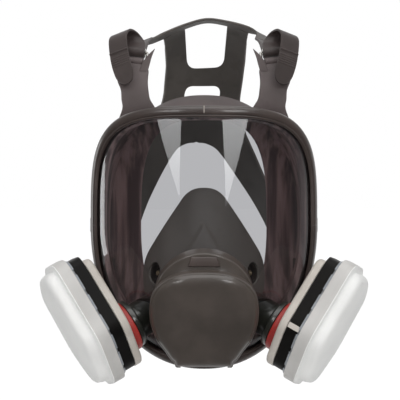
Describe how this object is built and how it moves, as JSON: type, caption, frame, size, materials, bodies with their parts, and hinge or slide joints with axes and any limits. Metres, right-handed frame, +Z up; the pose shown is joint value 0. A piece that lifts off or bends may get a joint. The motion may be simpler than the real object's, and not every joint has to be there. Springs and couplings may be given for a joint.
{
  "type": "full-face respirator mask",
  "caption": "Full-face respirator mask with a clear bowed lens, bayonet cartridges under clip-on pre-filter retainers, an inner nose cup and a strapped rubber head cradle.",
  "frame": {"origin": "middle of the opening that the face goes into, level with the side joints of the lens frame", "axes": "+X to the viewer's right from the front, +Y from the lens to the back of the head, +Z up"},
  "size_m": [0.2662, 0.2984, 0.3157],
  "materials": {
    "frame_plastic": "satin moulded plastic",
    "cover_plastic": "satin moulded plastic",
    "grey_rubber": "matt rubber",
    "dark_rubber": "matt rubber",
    "clear_lens": "clear polycarbonate",
    "valve_rubber": "matt rubber",
    "red_rubber": "matt rubber",
    "cream_plastic": "satin moulded plastic",
    "can_plastic": "black label band",
    "carbon": "granules",
    "felt": "felt",
    "white_plastic": "smooth moulded plastic",
    "steel": "plated wire"
  },
  "bodies": {
    "mask": {"adapter_gasket": "dark_rubber", "adapter_nut": "frame_plastic", "center_adapter": "frame_plastic", "exhalation_cover": "cover_plastic", "faceseal": "grey_rubber", "frame_nut_left": "steel", "frame_nut_right": "steel", "frame_screw_left": "steel", "frame_screw_right": "steel", "head_harness": "dark_rubber", "lens": "clear_lens", "lower_frame": "frame_plastic", "nose_cup": "grey_rubber", "nose_cup_seat_left": "frame_plastic", "nose_cup_seat_right": "frame_plastic", "port_gasket_left": "red_rubber", "port_gasket_right": "red_rubber", "port_left": "frame_plastic", "port_nut_left": "frame_plastic", "port_nut_right": "frame_plastic", "port_right": "frame_plastic", "strap_lower_left": "dark_rubber", "strap_lower_right": "dark_rubber", "strap_upper_left": "dark_rubber", "strap_upper_right": "dark_rubber", "upper_frame": "frame_plastic"},
    "exhalation_valve": {"exhalation_valve": "valve_rubber"},
    "cartridge_left": {"cartridge_back_left": "cream_plastic", "cartridge_can_left": "can_plastic", "sorbent_bed_left": "carbon", "cartridge_grille_left": "cream_plastic"},
    "retainer_left": {"retainer_left": "white_plastic", "prefilter_left": "felt"},
    "inhalation_valve_left": {"inhalation_valve_left": "valve_rubber"},
    "nose_cup_valve_left": {"nose_cup_valve_left": "valve_rubber"},
    "buckle_upper_left": {"buckle_frame_upper_left": "steel"},
    "roller_upper_left": {"buckle_roller_upper_left": "steel"},
    "buckle_lower_left": {"buckle_frame_lower_left": "steel"},
    "roller_lower_left": {"buckle_roller_lower_left": "steel"},
    "cartridge_right": {"cartridge_back_right": "cream_plastic", "cartridge_can_right": "can_plastic", "sorbent_bed_right": "carbon", "cartridge_grille_right": "cream_plastic"},
    "retainer_right": {"retainer_right": "white_plastic", "prefilter_right": "felt"},
    "inhalation_valve_right": {"inhalation_valve_right": "valve_rubber"},
    "nose_cup_valve_right": {"nose_cup_valve_right": "valve_rubber"},
    "buckle_upper_right": {"buckle_frame_upper_right": "steel"},
    "roller_upper_right": {"buckle_roller_upper_right": "steel"},
    "buckle_lower_right": {"buckle_frame_lower_right": "steel"},
    "roller_lower_right": {"buckle_roller_lower_right": "steel"}
  },
  "joints": [
    {"name": "exhalation_valve_lift", "type": "slide", "parent": "mask", "child": "exhalation_valve", "axis": [0, -0.9397, -0.342], "range_m": [0, 0.0015], "stiffness_N_per_m": 20, "springref_m": -0.001},
    {"name": "cartridge_twist_left", "type": "hinge", "parent": "mask", "child": "cartridge_left", "pos_m": [-0.05, -0.06555, -0.075], "axis": [-0.8331, -0.29, -0.471], "range_deg": [0, 60]},
    {"name": "retainer_pull_left", "type": "slide", "parent": "cartridge_left", "child": "retainer_left", "axis": [-0.8331, -0.29, -0.471], "range_m": [0, 0.025]},
    {"name": "inhalation_valve_lift_left", "type": "slide", "parent": "mask", "child": "inhalation_valve_left", "axis": [0.8331, 0.29, 0.471], "range_m": [0, 0.0015], "stiffness_N_per_m": 20, "springref_m": -0.001},
    {"name": "nose_cup_valve_lift_left", "type": "slide", "parent": "mask", "child": "nose_cup_valve_left", "axis": [0.8453, 0.5289, -0.0761], "range_m": [0, 0.0015], "stiffness_N_per_m": 20, "springref_m": -0.001},
    {"name": "buckle_pivot_upper_left", "type": "hinge", "parent": "mask", "child": "buckle_upper_left", "pos_m": [-0.06, -0.031, 0.138], "axis": [-0.9927, 0.0756, 0.0939], "range_deg": [-20, 20], "deforming": ["strap_upper_left"]},
    {"name": "roller_spin_upper_left", "type": "hinge", "parent": "buckle_upper_left", "child": "roller_upper_left", "pos_m": [-0.05865, -0.02403, 0.14666], "axis": [-0.9927, 0.0756, 0.0939], "continuous": true},
    {"name": "buckle_pivot_lower_left", "type": "hinge", "parent": "mask", "child": "buckle_lower_left", "pos_m": [-0.0825, 0.021, -0.05], "axis": [0.0121, -0.0995, -0.995], "range_deg": [-20, 20], "deforming": ["strap_lower_left"]},
    {"name": "roller_spin_lower_left", "type": "hinge", "parent": "buckle_lower_left", "child": "roller_lower_left", "pos_m": [-0.08385, 0.03206, -0.05112], "axis": [0.0121, -0.0995, -0.995], "continuous": true},
    {"name": "cartridge_twist_right", "type": "hinge", "parent": "mask", "child": "cartridge_right", "pos_m": [0.05, -0.06555, -0.075], "axis": [0.8331, -0.29, -0.471], "range_deg": [0, 60]},
    {"name": "retainer_pull_right", "type": "slide", "parent": "cartridge_right", "child": "retainer_right", "axis": [0.8331, -0.29, -0.471], "range_m": [0, 0.025]},
    {"name": "inhalation_valve_lift_right", "type": "slide", "parent": "mask", "child": "inhalation_valve_right", "axis": [-0.8331, 0.29, 0.471], "range_m": [0, 0.0015], "stiffness_N_per_m": 20, "springref_m": -0.001},
    {"name": "nose_cup_valve_lift_right", "type": "slide", "parent": "mask", "child": "nose_cup_valve_right", "axis": [-0.8453, 0.5289, -0.0761], "range_m": [0, 0.0015], "stiffness_N_per_m": 20, "springref_m": -0.001},
    {"name": "buckle_pivot_upper_right", "type": "hinge", "parent": "mask", "child": "buckle_upper_right", "pos_m": [0.06, -0.031, 0.138], "axis": [0.9927, 0.0756, 0.0939], "range_deg": [-20, 20], "deforming": ["strap_upper_right"]},
    {"name": "roller_spin_upper_right", "type": "hinge", "parent": "buckle_upper_right", "child": "roller_upper_right", "pos_m": [0.05865, -0.02403, 0.14666], "axis": [0.9927, 0.0756, 0.0939], "continuous": true},
    {"name": "buckle_pivot_lower_right", "type": "hinge", "parent": "mask", "child": "buckle_lower_right", "pos_m": [0.0825, 0.021, -0.05], "axis": [-0.0121, -0.0995, -0.995], "range_deg": [-20, 20], "deforming": ["strap_lower_right"]},
    {"name": "roller_spin_lower_right", "type": "hinge", "parent": "buckle_lower_right", "child": "roller_lower_right", "pos_m": [0.08385, 0.03206, -0.05112], "axis": [-0.0121, -0.0995, -0.995], "continuous": true}
  ]
}
